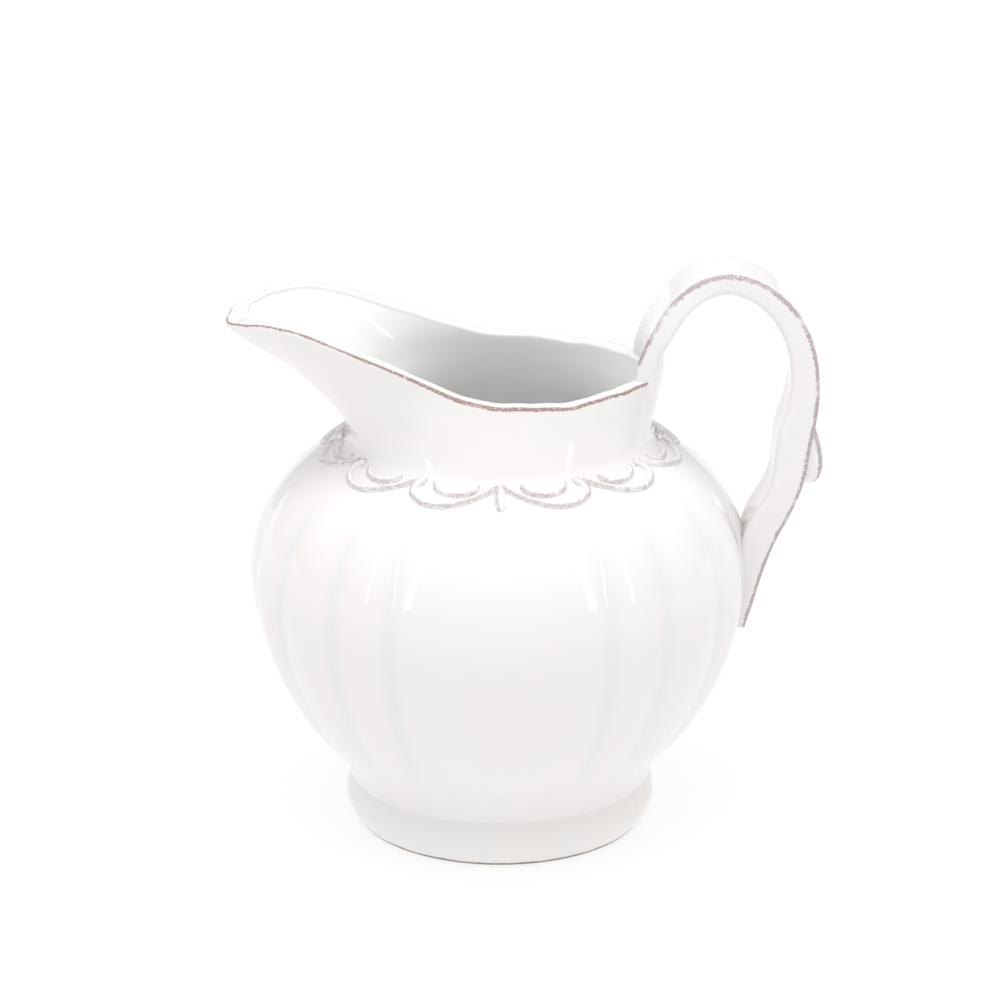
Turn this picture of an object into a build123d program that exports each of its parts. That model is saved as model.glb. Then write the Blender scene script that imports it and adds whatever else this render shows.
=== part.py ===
"""Ceramic pitcher: a lobed jug on a low foot, with a drawn spout, a strap handle and a sprigged garland.

Millimetres, +Z up. The origin is the centre of the foot's resting plane. The spout points along -X, the
handle along +X, and the front panel of the belly faces -Y. Azimuths are measured from -Y towards +X.
"""
import os
from math import cos, pi, radians, sin

from build123d import *

os.makedirs("parts", exist_ok=True)

# ---- driving dimensions -------------------------------------------------------------------------------
wall = 5.0  # thickness of the cast clay wall
floor_radius = 28.0  # the flat part of the inside floor

# foot ring
foot_height = 12.2
foot_base_radius = 35.4
foot_bulge_radius = 38.6
foot_inner_radius = 30.5
crease_radius = 37.7  # where the foot meets the belly

# belly: (radius, height) of the outer profile, from the foot crease up to the neck crease
neck_height = 99.2
neck_radius = 38.4
belly_profile_points = [
    (crease_radius, foot_height),
    (39.9, 17.4),
    (45.4, 24.0),
    (56.1, 41.0),
    (61.7, 62.0),
    (59.6, 78.0),
    (54.3, 87.3),
    (47.4, 93.6),
    (neck_radius, neck_height),
]
lobed_sections = 12
shoulder_sections = 3
shoulder_share = 0.928  # share of the profile's length where the plain, round shoulder begins

# lobes of one quarter of the belly: azimuths of the grooves, and the slope at a lobe's edge
groove_azimuths = [26.0, 41.5, 61.0, 80.5]
panel_edge_slope = radians(9)
lobe_edge_slope = radians(14)
lobe_full_below = 84.0  # the lobes have their full depth under this height, and fade out at the shoulder
lobe_foot_full = 34.0  # and they reach it here, rising from nothing at the foot crease

# collar and spout: (height, spout reach, handle-side reach, half width) of the horizontal outlines
collar_stations = [
    (neck_height, 38.4, 38.4, 38.4),
    (102.0, 37.5, 37.3, 37.3),
    (106.0, 39.2, 37.8, 36.0),
    (110.0, 42.3, 38.8, 34.9),
    (114.0, 46.4, 39.7, 33.9),
    (118.0, 51.1, 40.5, 33.1),
    (122.0, 56.8, 41.2, 32.8),
    (126.0, 63.9, 41.9, 33.1),
    (130.0, 68.5, 42.5, 33.8),
    (136.0, 71.8, 43.4, 34.6),
]
collar_point_sharpness = 0.2  # 0 is an ellipse, more draws the outline's ends to a point
keel_wall_rise = 5.7  # how far the spout's floor lies above its underside
# rim line seen from the side: (distance along X, height)
rim_points = [
    (-72.0, 127.5),
    (-67.5, 130.3),
    (-62.0, 132.4),
    (-54.0, 133.5),
    (-46.0, 132.6),
    (-38.0, 130.0),
    (-29.0, 126.7),
    (-19.0, 122.7),
    (-9.0, 119.2),
    (1.0, 117.5),
    (12.0, 117.3),
    (18.0, 116.7),
    (23.0, 117.2),
    (32.0, 117.5),
    (46.0, 118.8),
]

# handle strap: (x, height, width, thickness) from the rim, over the arch and down to the belly
handle_stations = [
    (37.6, 116.6, 24.0, 5.0),
    (37.9, 121.5, 24.5, 5.1),
    (39.6, 128.8, 24.5, 5.3),
    (43.3, 135.0, 22.5, 5.3),
    (48.8, 139.2, 19.5, 5.3),
    (55.2, 140.6, 17.5, 5.3),
    (62.2, 138.6, 17.0, 5.5),
    (68.6, 133.3, 17.2, 6.0),
    (72.7, 125.8, 17.8, 6.5),
    (74.3, 117.0, 18.0, 7.0),
    (73.7, 108.0, 18.0, 7.8),
    (71.9, 99.8, 17.6, 8.6),
    (70.3, 92.2, 17.4, 9.4),
    (67.9, 85.4, 17.4, 9.8),
    (64.6, 78.2, 17.2, 9.2),
    (62.2, 69.0, 16.0, 7.0),
    (60.8, 59.5, 13.5, 4.8),
    (59.3, 51.0, 9.5, 3.4),
]
handle_edge_round = 1.2

# spur: the leaf-shaped sprig on the outside of the handle's lower bend
spur_centre = (75.3, 94.8)
spur_length = 19.0
spur_width = 11.0
spur_height = 8.2
spur_tilt = 4.0  # degrees from upright

# garland: one festoon as (azimuth, ring radius) points on the shoulder; it is set three times in a quarter
festoons_per_quarter = 3
festoon_pitch = 90 / festoons_per_quarter
shoulder_fall = 0.622  # drop of the shoulder for each millimetre outwards
swag_points = [
    (1.2, 39.9),
    (6.0, 41.2),
    (12.5, 43.3),
    (19.5, 44.1),
    (25.5, 43.2),
    (28.6, 41.6),
    (28.4, 39.8),
]
scroll_points = [
    (7.5, 39.8),
    (10.5, 40.6),
    (15.0, 41.3),
    (19.5, 41.2),
    (21.8, 40.0),
]
swag_bead_radius = 1.15
scroll_bead_radius = 0.95
bead_sink = 0.25  # how far a bead's centre lies under the shoulder
drop_ring_radius = 41.6
drop_length = 5.4
drop_width = 2.6
bed_clearance = 0.04  # slip under the sprigs
bed_margin = 4.0  # how far the fitting surface of the garland runs on above and below the shoulder


# ---- belly --------------------------------------------------------------------------------------------
with BuildLine(Plane.XZ) as belly_profile:
    Spline(*belly_profile_points, tangents=[(0.25, 1.0), (-1.0, 0.55)])
profile_edge = belly_profile.edges()[0]
shoulder = profile_edge @ shoulder_share


def section_shares():
    """Shares of the profile's length at which the belly's outline is drawn, closer on the shoulder."""
    lobed = [shoulder_share * step / lobed_sections for step in range(lobed_sections)]
    plain = [1 - (1 - shoulder_share) * step / shoulder_sections for step in range(shoulder_sections + 1)]
    return lobed + plain[::-1]


def folded(azimuth):
    """Azimuth brought into the first quarter, since the belly repeats in mirrored quarters."""
    half = abs((azimuth + 180) % 360 - 180)
    return min(half, 180 - half)


def lobe_bulge(azimuth):
    """Rise of the lobe over its two grooves, as a fraction of the belly's radius."""
    side_groove = 180 - groove_azimuths[-1]
    bounds = [-groove_azimuths[0]] + groove_azimuths + [side_groove]
    position = folded(azimuth)
    for index, (start, end) in enumerate(zip(bounds, bounds[1:])):
        if position <= end:
            break
    slope = panel_edge_slope if index == 0 else lobe_edge_slope
    half_width = radians(end - start) / 2
    across = (radians(position - start) - half_width) / half_width
    pillow = 0.7 * (1 - across**2) + 0.15 * (1 + cos(pi * across))
    return pillow * slope * half_width / 2


def smooth_step(value, low, high):
    """Eased rise from 0 at low to 1 at high."""
    share = min(max((value - low) / (high - low), 0), 1)
    return share * share * (3 - 2 * share)


def lobe_depth(height):
    """Share of the full lobe depth that the belly has at a height."""
    rising = smooth_step(height, foot_height, lobe_foot_full)
    return rising * (1 - smooth_step(height, lobe_full_below, shoulder.Z))


def outline_azimuths():
    """Azimuths of an outline's points: every groove, and even steps of about 5 degrees between them."""
    quarter = [0.0]
    for start, end in zip([0.0] + groove_azimuths, groove_azimuths + [90.0]):
        steps = max(2, round((end - start) / 5))
        quarter += [start + (end - start) * step / steps for step in range(1, steps + 1)]
    half = quarter + [180 - azimuth for azimuth in reversed(quarter[:-1])]
    return half + [360 - azimuth for azimuth in reversed(half[1:-1])]


def belly_outline(radius, height):
    """Points of the lobed outline at one height; its side lobes keep the profile's radius."""
    depth = lobe_depth(height)
    points = []
    for azimuth in outline_azimuths():
        swell = lobe_bulge(azimuth) - lobe_bulge(90)
        local = radius * (1 + depth * swell)
        points.append((local * sin(radians(azimuth)), -local * cos(radians(azimuth))))
    return points


def inner_profile_points():
    """Points of the cavity's profile, one wall inside the belly's, from the floor to the throat."""
    points = []
    for share in (0.14, 0.26, 0.38, 0.5, 0.62, 0.74, 0.84, 0.93):
        outside = profile_edge @ share
        along = profile_edge % share
        points.append((outside.X - wall * along.Z, outside.Z + wall * along.X))
    return points


with BuildPart() as belly:
    for share in section_shares():
        station = profile_edge @ share
        with BuildSketch(Plane.XY.offset(station.Z)):
            with BuildLine():
                Spline(*belly_outline(station.X, station.Z), periodic=True)
            make_face()
    loft()
    cavity_points = inner_profile_points()
    floor_height = foot_height + wall
    throat_radius = neck_radius - wall
    with BuildSketch(Plane.XZ):
        with BuildLine():
            floor_edge = (floor_radius, floor_height)
            Line((0, floor_height), floor_edge)
            Spline(floor_edge, *cavity_points, (throat_radius, neck_height), tangents=[(1, 0.1), (0, 1)])
            Line((throat_radius, neck_height), (0, neck_height))
            Line((0, neck_height), (0, floor_height))
        make_face()
    revolve(axis=Axis.Z, mode=Mode.SUBTRACT)
belly.part.label = "belly"

# ---- foot ring ----------------------------------------------------------------------------------------
with BuildPart() as foot_ring:
    with BuildSketch(Plane.XZ):
        with BuildLine():
            Spline(
                (foot_base_radius, 0),
                (foot_bulge_radius, foot_height / 2),
                (crease_radius, foot_height),
                tangents=[(0.9, 1), (-0.2, 1)],
            )
            Line((crease_radius, foot_height), (foot_inner_radius + 2, foot_height))
            Line((foot_inner_radius + 2, foot_height), (foot_inner_radius, 1.5))
            Line((foot_inner_radius, 1.5), (foot_inner_radius + 1.2, 0))
            Line((foot_inner_radius + 1.2, 0), (foot_base_radius, 0))
        make_face()
    revolve(axis=Axis.Z)
foot_ring.part.label = "foot_ring"


# ---- collar with the drawn spout ----------------------------------------------------------------------
def collar_outline(spout_reach, handle_reach, half_width, sharpness):
    """Points of an egg-shaped outline, half an ellipse to each side, drawn to a point at its ends."""
    points = []
    steps = 24
    for step in range(steps):
        turn = 2 * pi * step / steps
        reach = handle_reach if cos(turn) > 0 else spout_reach
        across = half_width * sin(turn) * abs(sin(turn)) ** sharpness
        points.append((reach * cos(turn), across))
    return points


def sharpness_at(height):
    """The outline is round at the neck and pointed from a third of the collar's height upwards."""
    return collar_point_sharpness * smooth_step(height, neck_height, neck_height + 12)


def keel_reach(height):
    """Reach of the spout's underside at a height, between the two nearest stations."""
    for low, high in zip(collar_stations, collar_stations[1:]):
        if height <= high[0]:
            share = max(0, (height - low[0]) / (high[0] - low[0]))
            return low[1] + share * (high[1] - low[1])


with BuildPart() as collar_inside:
    for height, spout_reach, handle_reach, half_width in collar_stations:
        floor_reach = min(spout_reach - wall, keel_reach(height - keel_wall_rise))
        inside = (floor_reach, handle_reach - wall, half_width - wall)
        with BuildSketch(Plane.XY.offset(height)):
            with BuildLine():
                Spline(*collar_outline(*inside, sharpness_at(height)), periodic=True)
            make_face()
    loft()

with BuildPart() as collar:
    for height, *reaches in collar_stations:
        with BuildSketch(Plane.XY.offset(height)):
            with BuildLine():
                Spline(*collar_outline(*reaches, sharpness_at(height)), periodic=True)
            make_face()
    loft()
    add(collar_inside.part, mode=Mode.SUBTRACT)
    above = collar_stations[-1][0] + 10
    with BuildSketch(Plane.XZ):
        with BuildLine():
            Spline(*rim_points)
            Polyline(rim_points[-1], (rim_points[-1][0], above), (rim_points[0][0], above), rim_points[0])
        make_face()
    extrude(amount=60, both=True, mode=Mode.SUBTRACT)
collar.part.label = "collar_spout"


# ---- handle -------------------------------------------------------------------------------------------
def strap_plane(index):
    """Plane across the strap at one of its stations, with its first direction along the width."""
    before = handle_stations[max(index - 1, 0)]
    after = handle_stations[min(index + 1, len(handle_stations) - 1)]
    along = (after[0] - before[0], 0, after[1] - before[1])
    place = handle_stations[index]
    return Plane(origin=(place[0], 0, place[1]), x_dir=(0, 1, 0), z_dir=along)


with BuildPart() as handle:
    for index, (_, _, width, thickness) in enumerate(handle_stations):
        with BuildSketch(strap_plane(index)):
            RectangleRounded(width, thickness, handle_edge_round)
    loft()
    add(collar.part, mode=Mode.SUBTRACT)
    add(belly.part, mode=Mode.SUBTRACT)
handle.part.label = "handle"

with BuildPart() as spur:
    with BuildSketch(Plane.XZ):
        with BuildLine():
            ThreePointArc((0, -spur_length / 2), (spur_width / 2, 0.12 * spur_length), (0, spur_length / 2))
            Line((0, spur_length / 2), (0, -spur_length / 2))
        make_face()
    revolve(axis=Axis.Z)
spur_body = scale(spur.part, by=(spur_height / spur_width, 1, 1))
spur_body = Pos(spur_centre[0], 0, spur_centre[1]) * Rot(0, spur_tilt, 0) * spur_body
with BuildPart() as handle_spur:
    add(spur_body)
    add(handle.part, mode=Mode.SUBTRACT)
handle_spur.part.label = "handle_spur"


# ---- garland ------------------------------------------------------------------------------------------
with BuildPart() as shoulder_bed:
    with BuildSketch(Plane.XZ):
        with BuildLine():
            bed_points = [profile_edge @ share for share in section_shares()[-shoulder_sections - 1 :]]
            bed_line = [(point.X, point.Z + bed_clearance) for point in bed_points]
            Spline(*bed_line)
            Polyline(
                bed_line[-1],
                (neck_radius, neck_height + bed_margin),
                (0, neck_height + bed_margin),
                (0, shoulder.Z - bed_margin),
                (shoulder.X, shoulder.Z - bed_margin),
                bed_line[0],
            )
        make_face()
    revolve(axis=Axis.Z)


def shoulder_point(azimuth, ring_radius):
    """Point a little under the shoulder's surface, where a bead has its centre."""
    height = neck_height - shoulder_fall * (ring_radius - neck_radius) - bead_sink
    return (ring_radius * sin(radians(azimuth)), -ring_radius * cos(radians(azimuth)), height)


def bead(points, radius, label):
    """Bead of clay with round ends laid along points of the shoulder and fitted to it."""
    route = [shoulder_point(*point) for point in points]
    with BuildPart() as sprig:
        with BuildLine() as line:
            Spline(*route)
        with BuildSketch(Plane(origin=line.line @ 0, z_dir=line.line % 0)):
            Circle(radius)
        sweep()
        with Locations(route[0], route[-1]):
            Sphere(radius * 1.02)
        add(shoulder_bed.part, mode=Mode.SUBTRACT)
    sprig.part.label = label
    return sprig.part


def drop(azimuth, label):
    """Leaf-shaped drop that hangs down the shoulder where two plain swag ends meet."""
    slope = Vector(sin(radians(azimuth)), -cos(radians(azimuth)), -shoulder_fall).normalized()
    centre = Vector(shoulder_point(azimuth, drop_ring_radius))
    with BuildPart() as leaf:
        with BuildSketch(Plane(origin=centre, x_dir=slope, z_dir=slope.cross(Vector(0, 0, 1)))):
            with BuildLine():
                ThreePointArc((-drop_length / 2, 0), (0.1 * drop_length, drop_width / 2), (drop_length / 2, 0))
                Line((drop_length / 2, 0), (-drop_length / 2, 0))
            make_face()
        revolve(axis=Axis(centre, slope))
        add(shoulder_bed.part, mode=Mode.SUBTRACT)
    leaf.part.label = label
    return leaf.part


garland = []
for number in range(festoons_per_quarter):
    start = number * festoon_pitch
    for kind, points, radius in (
        ("swag", swag_points, swag_bead_radius),
        ("scroll", scroll_points, scroll_bead_radius),
    ):
        placed = [(start + azimuth, ring) for azimuth, ring in points]
        first = bead(placed, radius, f"garland_{kind}_front_right_{number + 1}")
        front_left = mirror(first, about=Plane.YZ)
        front_left.label = f"garland_{kind}_front_left_{number + 1}"
        back_right = mirror(first, about=Plane.XZ)
        back_right.label = f"garland_{kind}_back_right_{number + 1}"
        back_left = mirror(front_left, about=Plane.XZ)
        back_left.label = f"garland_{kind}_back_left_{number + 1}"
        garland += [first, front_left, back_right, back_left]
garland += [drop(0, "garland_drop_front"), drop(180, "garland_drop_back")]

# ---- export -------------------------------------------------------------------------------------------
pieces = [foot_ring.part, belly.part, collar.part, handle.part, handle_spur.part] + garland
for piece in pieces:
    export_step(piece, f"parts/{piece.label}.step")
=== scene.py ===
"""Looks of a ceramic pitcher: a lobed jug on a low foot, with a drawn spout, a strap handle and a garland.

The fields of the classes are in millimetres and degrees, and the meshes are in metres, in the frame of the
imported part: +Z up, the spout towards -X, the handle towards +X, the front panel towards -Y. Azimuths are
measured from -Y towards +X. Every clay piece stands for the CAD node of the same name.
"""
from __future__ import annotations

import logging
from dataclasses import dataclass
from enum import Enum
from math import cos, pi, radians, sin
from typing import Sequence

import bpy
import numpy as np
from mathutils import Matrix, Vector


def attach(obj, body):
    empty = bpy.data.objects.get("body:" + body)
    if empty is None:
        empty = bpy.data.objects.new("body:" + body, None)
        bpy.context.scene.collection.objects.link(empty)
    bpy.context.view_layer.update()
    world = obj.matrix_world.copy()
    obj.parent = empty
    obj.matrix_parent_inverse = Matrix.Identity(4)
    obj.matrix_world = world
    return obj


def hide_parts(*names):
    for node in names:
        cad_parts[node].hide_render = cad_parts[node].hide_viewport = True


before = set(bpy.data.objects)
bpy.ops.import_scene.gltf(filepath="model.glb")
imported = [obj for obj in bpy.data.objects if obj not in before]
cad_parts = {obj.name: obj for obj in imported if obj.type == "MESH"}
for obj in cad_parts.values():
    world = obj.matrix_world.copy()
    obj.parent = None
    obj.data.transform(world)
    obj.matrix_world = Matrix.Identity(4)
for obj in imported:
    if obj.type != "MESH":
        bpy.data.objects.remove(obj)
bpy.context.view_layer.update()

logging.basicConfig(level=logging.INFO, format="%(message)s")
log = logging.getLogger("pitcher")

MM = 0.001
UNWORN = 99.0  # a distance from any worn edge, in millimetres, that leaves the glaze whole
MERGE_DISTANCE = 2e-6
SMOOTH_ANGLE = 40  # degrees; sharper edges than this stay sharp
GLAZE_IOR = 1.5
Colour = tuple[float, float, float]


# ---- curves and mesh work -----------------------------------------------------------------------------
class SmoothLine:
    """Smooth curve through points, as a bent batten lies through pins."""

    def __init__(
        self,
        points: Sequence[Sequence[float]],
        knots: Sequence[float] | None = None,
        start: Sequence[float] | None = None,
        end: Sequence[float] | None = None,
    ) -> None:
        """Solves the slopes at the points.

        Args:
            points: the points, each of the same number of values.
            knots: the curve's parameter at each point; the chord lengths when left out.
            start: direction at the first point; free when left out.
            end: direction at the last point; free when left out.
        """
        self.points = np.array(points, float)
        chords = np.linalg.norm(np.diff(self.points, axis=0), axis=1)
        self.knots = np.array(knots, float) if knots is not None else np.concatenate([[0.0], np.cumsum(chords)])
        count = len(self.points)
        gaps = np.diff(self.knots)
        rises = np.diff(self.points, axis=0) / gaps[:, None]
        matrix = np.zeros((count, count))
        right = np.zeros_like(self.points)
        for i in range(1, count - 1):
            matrix[i, i - 1 : i + 2] = gaps[i], 2 * (gaps[i - 1] + gaps[i]), gaps[i - 1]
            right[i] = 3 * (gaps[i] * rises[i - 1] + gaps[i - 1] * rises[i])
        matrix[0, :2], right[0] = (2, 1), 3 * rises[0]
        matrix[-1, -2:], right[-1] = (1, 2), 3 * rises[-1]
        if start is not None:
            matrix[0, :2], right[0] = (1, 0), np.array(start, float) / np.linalg.norm(start)
        if end is not None:
            matrix[-1, -2:], right[-1] = (0, 1), np.array(end, float) / np.linalg.norm(end)
        self.slopes = np.linalg.solve(matrix, right)

    def at(self, places: np.ndarray) -> np.ndarray:
        """Points of the curve.

        Args:
            places: parameters on the curve, held to its ends.

        Returns:
            One row of values for each parameter.
        """
        places = np.clip(np.asarray(places, float), self.knots[0], self.knots[-1])
        index = np.clip(np.searchsorted(self.knots, places, side="right") - 1, 0, len(self.knots) - 2)
        gap = (self.knots[index + 1] - self.knots[index])[..., None]
        share = (places - self.knots[index])[..., None] / gap
        low, high = self.points[index], self.points[index + 1]
        slope_low, slope_high = self.slopes[index] * gap, self.slopes[index + 1] * gap
        return (
            low * (1 + 2 * share) * (1 - share) ** 2
            + slope_low * share * (1 - share) ** 2
            + high * share**2 * (3 - 2 * share)
            + slope_high * share**2 * (share - 1)
        )

    def even(self, count: int) -> np.ndarray:
        """Points at even steps of the parameter, from one end to the other."""
        return self.at(np.linspace(self.knots[0], self.knots[-1], count))


def smooth_step(value: np.ndarray, low: float, high: float) -> np.ndarray:
    """Eased rise from 0 at low to 1 at high."""
    share = np.clip((np.asarray(value, float) - low) / (high - low), 0, 1)
    return share * share * (3 - 2 * share)


def lathe(name: str, outline: Sequence[Sequence[float]], steps: int) -> bpy.types.Object:
    """Turns an outline about the upright axis.

    Args:
        name: name of the new piece.
        outline: (radius, height) points in metres.
        steps: number of steps round the axis.

    Returns:
        The turned piece, its seam closed.
    """
    bpy.ops.object.select_all(action="DESELECT")
    bpy.ops.mesh.primitive_plane_add(size=MM)
    piece = bpy.context.object
    piece.name = piece.data.name = name
    bpy.ops.object.mode_set(mode="EDIT")
    bpy.ops.mesh.select_all(action="SELECT")
    bpy.ops.mesh.merge(type="CENTER")
    bpy.ops.transform.translate(value=(outline[0][0], 0, outline[0][1]))
    for here, there in zip(outline, outline[1:]):
        move = (there[0] - here[0], 0, there[1] - here[1])
        bpy.ops.mesh.extrude_region_move(TRANSFORM_OT_translate={"value": move})
    bpy.ops.mesh.select_all(action="SELECT")
    bpy.ops.mesh.spin(steps=steps, angle=2 * pi, center=(0, 0, 0), axis=(0, 0, 1))
    bpy.ops.mesh.select_all(action="SELECT")
    bpy.ops.mesh.remove_doubles(threshold=MERGE_DISTANCE)
    bpy.ops.object.mode_set(mode="OBJECT")
    return piece


def vertex_places(piece: bpy.types.Object) -> np.ndarray:
    """Coordinates of a piece's vertices, one row for each."""
    flat = np.zeros(len(piece.data.vertices) * 3, np.float32)
    piece.data.vertices.foreach_get("co", flat)
    return flat.reshape(-1, 3).astype(float)


def move_vertices(piece: bpy.types.Object, places: np.ndarray) -> None:
    """Sets the coordinates of all vertices of a piece."""
    piece.data.vertices.foreach_set("co", places.astype(np.float32).ravel())
    piece.data.update()


def paint(piece: bpy.types.Object, name: str, values: np.ndarray) -> None:
    """Writes one number for each vertex, for the glaze to read.

    Args:
        piece: the piece.
        name: name of the attribute.
        values: the numbers, in the order of the vertices.
    """
    attribute = piece.data.attributes.new(name, "FLOAT", "POINT")
    attribute.data.foreach_set("value", np.asarray(values, np.float32))


def drawn_sheet(name: str, surface: np.ndarray, paints: dict[str, np.ndarray]) -> bpy.types.Object:
    """Turns a flat sheet of rings and draws it into a closed skin.

    Args:
        name: name of the new piece.
        surface: rows x steps x 3 points in metres; the first and last row are one ring or a pole each.
        paints: numbers for each point of the surface, rows x steps, by attribute name.

    Returns:
        The closed piece.
    """
    rows, steps = surface.shape[:2]
    pitch = 0.01
    piece = lathe(name, [(1 + pitch * row, 0) for row in range(rows)], steps)
    flat = vertex_places(piece)
    row = np.round((np.hypot(flat[:, 0], flat[:, 1]) - 1) / pitch).astype(int)
    step = np.round(np.arctan2(flat[:, 1], flat[:, 0]) / (2 * pi) * steps).astype(int) % steps
    move_vertices(piece, surface[row, step])
    for attribute, values in paints.items():
        paint(piece, attribute, values[row, step])
    return piece


def fired(piece: bpy.types.Object, material: bpy.types.Material, node: str) -> bpy.types.Object:
    """Closes and smooths a piece, glazes it, and sets it in its CAD node's place.

    Args:
        piece: the shaped piece.
        material: its glaze.
        node: the CAD node that it stands for.

    Returns:
        The same piece.
    """
    bpy.ops.object.select_all(action="DESELECT")
    piece.select_set(True)
    bpy.context.view_layer.objects.active = piece
    bpy.ops.object.mode_set(mode="EDIT")
    bpy.ops.mesh.select_all(action="SELECT")
    bpy.ops.mesh.remove_doubles(threshold=MERGE_DISTANCE)
    bpy.ops.mesh.normals_make_consistent(inside=False)
    bpy.ops.object.mode_set(mode="OBJECT")
    bpy.ops.object.shade_smooth_by_angle(angle=radians(SMOOTH_ANGLE))
    piece.data.materials.clear()
    piece.data.materials.append(material)
    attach(piece, "root")
    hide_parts(node)
    log.info("%s: %d faces", piece.name, len(piece.data.polygons))
    return piece


# ---- finishes -----------------------------------------------------------------------------------------
class Bench:
    """A material being wired, with short calls for its nodes."""

    def __init__(self, name: str) -> None:
        """Makes the material and keeps its shader and its object coordinates."""
        self.material = bpy.data.materials.new(name)
        self.material.use_nodes = True
        self.nodes = self.material.node_tree.nodes
        self.shader = self.nodes["Principled BSDF"]
        self.place = self.nodes.new("ShaderNodeTexCoord").outputs["Object"]

    def feed(self, socket: bpy.types.NodeSocket, value: object) -> None:
        """Links a socket to another, or sets it to a value."""
        if isinstance(value, bpy.types.NodeSocket):
            self.material.node_tree.links.new(value, socket)
        else:
            socket.default_value = value

    def attribute(self, name: str) -> bpy.types.NodeSocket:
        """Number painted on the piece's vertices."""
        node = self.nodes.new("ShaderNodeAttribute")
        node.attribute_name = name
        return node.outputs["Fac"]

    def noise(self, size: float, detail: float = 2.0, stretch: Colour = (1, 1, 1)) -> bpy.types.NodeSocket:
        """Cloudy pattern from 0 to 1.

        Args:
            size: size of its clouds in millimetres.
            detail: how much finer structure it has.
            stretch: how much longer the clouds are along X, Y and Z.

        Returns:
            The pattern's value.
        """
        mapping = self.nodes.new("ShaderNodeMapping")
        self.feed(mapping.inputs["Vector"], self.place)
        mapping.inputs["Scale"].default_value = [1 / (size * MM * longer) for longer in stretch]
        node = self.nodes.new("ShaderNodeTexNoise")
        self.feed(node.inputs["Vector"], mapping.outputs["Vector"])
        node.inputs["Scale"].default_value = 1.0
        node.inputs["Detail"].default_value = detail
        return node.outputs["Fac"]

    def specks(self, pitch: float) -> tuple[bpy.types.NodeSocket, bpy.types.NodeSocket]:
        """Scattered points.

        Args:
            pitch: usual distance between them in millimetres.

        Returns:
            The distance to the nearest point, in pitches, and a number from 0 to 1 drawn for that point.
        """
        node = self.nodes.new("ShaderNodeTexVoronoi")
        self.feed(node.inputs["Vector"], self.place)
        node.inputs["Scale"].default_value = 1 / (pitch * MM)
        return node.outputs["Distance"], node.outputs["Color"]

    def math(self, operation: str, first: object, second: object = 0.0) -> bpy.types.NodeSocket:
        """Result of an operation on two numbers."""
        node = self.nodes.new("ShaderNodeMath")
        node.operation = operation
        self.feed(node.inputs[0], first)
        self.feed(node.inputs[1], second)
        return node.outputs[0]

    def eased(self, value: object, low: float, high: float) -> bpy.types.NodeSocket:
        """Eased rise from 0 at low to 1 at high; it falls instead when low is the larger."""
        node = self.nodes.new("ShaderNodeMapRange")
        node.interpolation_type = "SMOOTHSTEP"
        self.feed(node.inputs["Value"], value)
        turned = low > high
        node.inputs["From Min"].default_value = min(low, high)
        node.inputs["From Max"].default_value = max(low, high)
        node.inputs["To Min"].default_value = 1.0 if turned else 0.0
        node.inputs["To Max"].default_value = 0.0 if turned else 1.0
        return node.outputs["Result"]

    def mixed(self, share: object, first: object, second: object) -> bpy.types.NodeSocket:
        """Colour between two, at a share from the first to the second."""
        node = self.nodes.new("ShaderNodeMix")
        node.data_type = "RGBA"
        self.feed(node.inputs[0], share)
        for place, colour in ((6, first), (7, second)):
            self.feed(node.inputs[place], (*colour, 1.0) if isinstance(colour, tuple) else colour)
        return node.outputs[2]

    def bumped(self, height: object, depth: float, below: object = None) -> bpy.types.NodeSocket:
        """Normal of a surface with a relief.

        Args:
            height: the relief, from 0 to 1.
            depth: its height in millimetres.
            below: the normal that it is laid on, if there is one.

        Returns:
            The new normal.
        """
        node = self.nodes.new("ShaderNodeBump")
        node.inputs["Distance"].default_value = depth * MM
        self.feed(node.inputs["Height"], height)
        if below is not None:
            self.feed(node.inputs["Normal"], below)
        return node.outputs["Normal"]


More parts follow.
